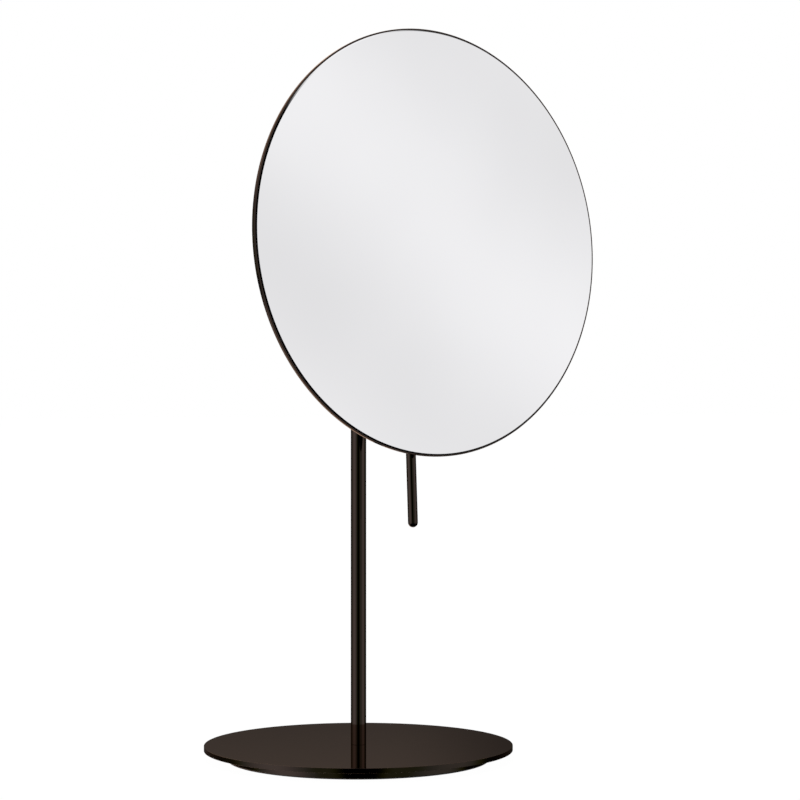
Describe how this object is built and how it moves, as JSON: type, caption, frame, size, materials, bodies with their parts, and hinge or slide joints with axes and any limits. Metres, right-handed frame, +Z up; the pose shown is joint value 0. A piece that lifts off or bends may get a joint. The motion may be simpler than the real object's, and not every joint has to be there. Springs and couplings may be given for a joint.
{
  "type": "extendable shaving mirror",
  "caption": "Table-top shaving mirror: thin round tilting mirror with a handle rod, on a telescopic swivelling column and a flat round weighted base.",
  "frame": {"origin": "middle of the foot pad's underside, on the column's axis", "axes": "+Z up along the column; the mirror faces -Y and leans back 2.8 degrees; +X is to the right of someone looking into the mirror"},
  "size_m": [0.2134, 0.16, 0.371],
  "materials": {
    "bronze_black": "polished",
    "mirror_face": "polished",
    "bright_steel": "satin",
    "rod_steel": "polished",
    "black_plastic": "matte",
    "white_plastic": "matte",
    "foot_rubber": "matte",
    "bronze_bush": "satin",
    "foam_tape": "matte"
  },
  "bodies": {
    "stand": {"foot_pad": "foot_rubber", "foot_disc": "bronze_black", "foot_screws": "bright_steel", "base_plate": "bronze_black", "base_washer": "bright_steel", "base_screw": "bright_steel", "post_plug": "bright_steel", "post_tube": "bronze_black", "guide_collet": "white_plastic"},
    "nut": {"clamp_nut": "bronze_black"},
    "mast": {"inner_rod": "rod_steel", "rod_glide": "white_plastic", "glide_screw": "bright_steel", "swivel_collar": "bronze_black", "swivel_washer": "black_plastic", "swivel_spring_washer": "bright_steel", "swivel_screw": "bright_steel"},
    "head": {"swivel_head": "bronze_black", "swivel_bush": "bronze_bush", "head_cap": "bronze_black", "arm": "bronze_black", "fork": "bronze_black", "tilt_screw": "bronze_black", "tilt_spring_washer": "bright_steel", "tilt_nut": "bronze_black", "tilt_washers": "black_plastic"},
    "mirror": {"knuckle": "bronze_black", "mount_flange": "bronze_black", "flange_screws": "bronze_black", "mount_plate": "bright_steel", "back_pan": "bronze_black", "backing_pad": "foam_tape", "mirror_glass": "mirror_face", "handle_rod": "bronze_black"}
  },
  "joints": [
    {"name": "clamp_nut_turn", "type": "hinge", "parent": "stand", "child": "nut", "pos_m": [0, 0, 0.242], "axis": [0, 0, 1], "range_deg": [0, 120]},
    {"name": "column_extend", "type": "slide", "parent": "stand", "child": "mast", "axis": [0, 0, 1], "range_m": [0, 0.11]},
    {"name": "head_swivel", "type": "hinge", "parent": "mast", "child": "head", "pos_m": [0, 0, 0.2633], "axis": [0, 0, 1], "continuous": true},
    {"name": "mirror_tilt", "type": "hinge", "parent": "head", "child": "mirror", "pos_m": [0, -0.0395, 0.2633], "axis": [-1, 0, 0], "range_deg": [-14, 75]}
  ]
}
